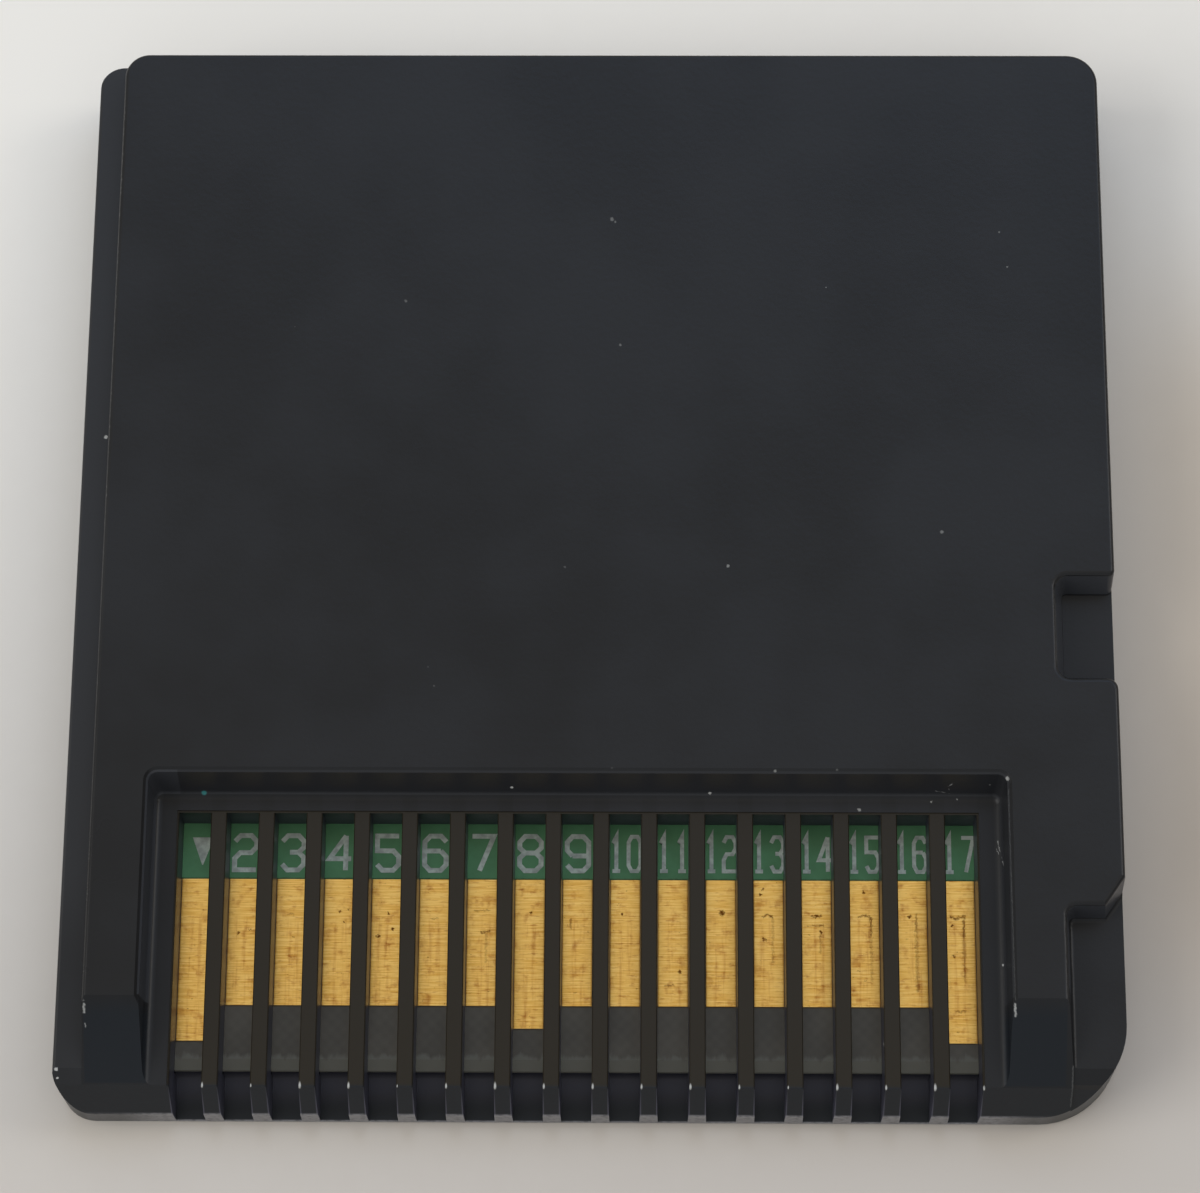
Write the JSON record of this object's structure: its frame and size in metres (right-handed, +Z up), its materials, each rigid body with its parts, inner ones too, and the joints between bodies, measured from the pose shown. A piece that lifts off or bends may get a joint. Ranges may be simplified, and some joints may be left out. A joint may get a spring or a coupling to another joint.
{
  "type": "game card",
  "caption": "Flat plastic memory card for a hand-held console, with gold contacts in a ribbed window at one edge, a side ledge and a latch notch.",
  "frame": {"origin": "middle of the label side, on the plane the card lies on", "axes": "+X to the right seen on the contact side with the contact edge towards the viewer, +Y along the card away from the contact edge, +Z up out of the contact side"},
  "size_m": [0.033, 0.035, 0.0038],
  "materials": {
    "shell_plastic": "fine satin texture",
    "laminate": "bare woven laminate",
    "green_mask": "lacquer",
    "gold_plate": "gold plate with fine wipe marks",
    "chip_resin": "moulded resin",
    "tinned_metal": "tinned",
    "capacitor_ceramic": "fired ceramic"
  },
  "bodies": {
    "root": {"front_shell": "shell_plastic", "back_shell": "shell_plastic", "circuit_board": "laminate", "solder_mask": "green_mask", "memory_chip": "chip_resin", "save_chip": "chip_resin", "memory_chip_leads": "tinned_metal", "save_chip_leads": "tinned_metal", "chip_part_terminals": "tinned_metal", "capacitor_1": "capacitor_ceramic", "capacitor_2": "capacitor_ceramic", "resistor_1": "chip_resin", "resistor_2": "chip_resin", "contact_01": "gold_plate", "contact_02": "gold_plate", "contact_03": "gold_plate", "contact_04": "gold_plate", "contact_05": "gold_plate", "contact_06": "gold_plate", "contact_07": "gold_plate", "contact_08": "gold_plate", "contact_09": "gold_plate", "contact_10": "gold_plate", "contact_11": "gold_plate", "contact_12": "gold_plate", "contact_13": "gold_plate", "contact_14": "gold_plate", "contact_15": "gold_plate", "contact_16": "gold_plate", "contact_17": "gold_plate"}
  },
  "joints": []
}
